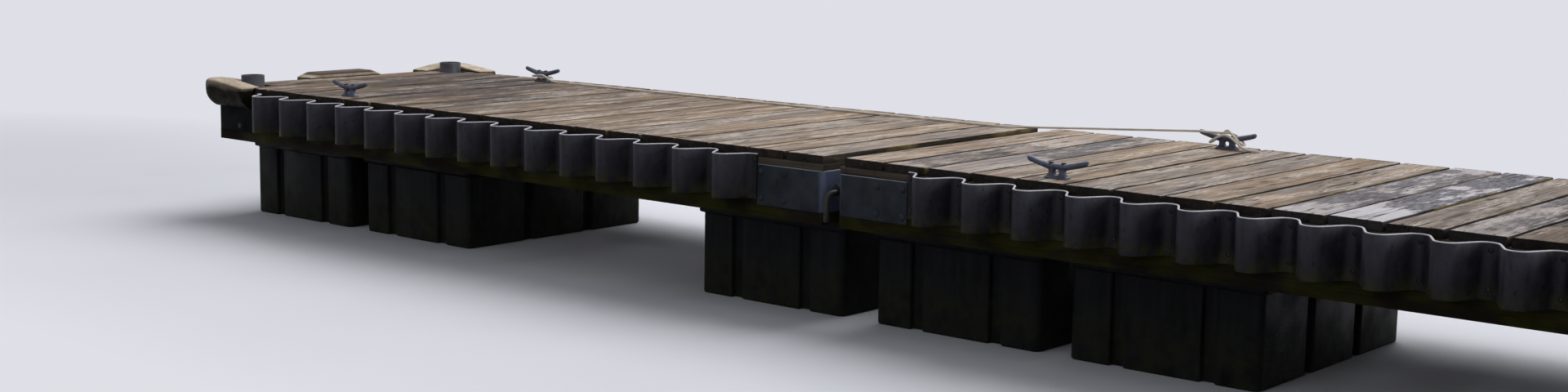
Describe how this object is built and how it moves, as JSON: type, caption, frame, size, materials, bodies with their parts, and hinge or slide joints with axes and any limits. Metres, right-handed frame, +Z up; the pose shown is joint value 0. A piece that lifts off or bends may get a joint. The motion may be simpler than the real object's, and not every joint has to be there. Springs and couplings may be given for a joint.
{
  "type": "floating wooden jetty",
  "caption": "Floating wooden jetty of hinged plank-decked sections on float tanks, with corrugated edge guards, mooring cleats, post sockets and end bumpers.",
  "frame": {"origin": "on the ground under the middle of the whole jetty, at the underside of the floats", "axes": "+X along the jetty from the lake end to the shore end, +Y from the near side to the far side, +Z up"},
  "size_m": [6.2822, 1.3598, 0.578],
  "materials": {
    "deck_wood": "weathered",
    "frame_wood": "weathered",
    "float_shell": "moulded",
    "edge_guard": "weathered",
    "cleat_metal": "galvanised",
    "plate_steel": "galvanised, dulled",
    "pin_steel": "galvanised, dulled",
    "socket_steel": "galvanised",
    "bumper_plastic": "moulded, dirty",
    "rope": "laid rope"
  },
  "bodies": {
    "inner_section": {"inner_deck_boards": "deck_wood", "inner_near_rim": "frame_wood", "inner_far_rim": "frame_wood", "inner_lake_rim": "frame_wood", "inner_shore_rim": "frame_wood", "inner_centre_stringer": "frame_wood", "inner_cross_blocks": "frame_wood", "inner_lake_float": "float_shell", "inner_middle_float": "float_shell", "inner_shore_float": "float_shell", "inner_near_guard": "edge_guard", "inner_far_guard": "edge_guard", "inner_near_cleat": "cleat_metal", "inner_far_cleat": "cleat_metal", "inner_near_lake_plate": "plate_steel", "inner_far_lake_plate": "plate_steel", "inner_near_shore_plate": "plate_steel", "inner_far_shore_plate": "plate_steel", "inner_mooring_rope": "rope", "inner_near_hinge_pin": "pin_steel", "inner_far_hinge_pin": "pin_steel"},
    "outer_section": {"outer_deck_boards": "deck_wood", "outer_near_rim": "frame_wood", "outer_far_rim": "frame_wood", "outer_lake_rim": "frame_wood", "outer_shore_rim": "frame_wood", "outer_centre_stringer": "frame_wood", "outer_cross_blocks": "frame_wood", "outer_lake_float": "float_shell", "outer_middle_float": "float_shell", "outer_shore_float": "float_shell", "outer_near_guard": "edge_guard", "outer_far_guard": "edge_guard", "outer_near_cleat": "cleat_metal", "outer_far_cleat": "cleat_metal", "outer_near_lake_plate": "plate_steel", "outer_far_lake_plate": "plate_steel", "outer_near_shore_plate": "plate_steel", "outer_far_shore_plate": "plate_steel", "outer_mooring_rope": "rope", "outer_notched_board": "deck_wood", "outer_near_post_socket": "socket_steel", "outer_far_post_socket": "socket_steel", "outer_near_corner_bumper": "bumper_plastic", "outer_far_corner_bumper": "bumper_plastic", "outer_end_bumper": "bumper_plastic"}
  },
  "joints": [
    {"name": "section_hinge", "type": "hinge", "parent": "inner_section", "child": "outer_section", "pos_m": [0.0035, 0, 0.4055], "axis": [0, 1, 0], "range_deg": [-8, 8]}
  ]
}
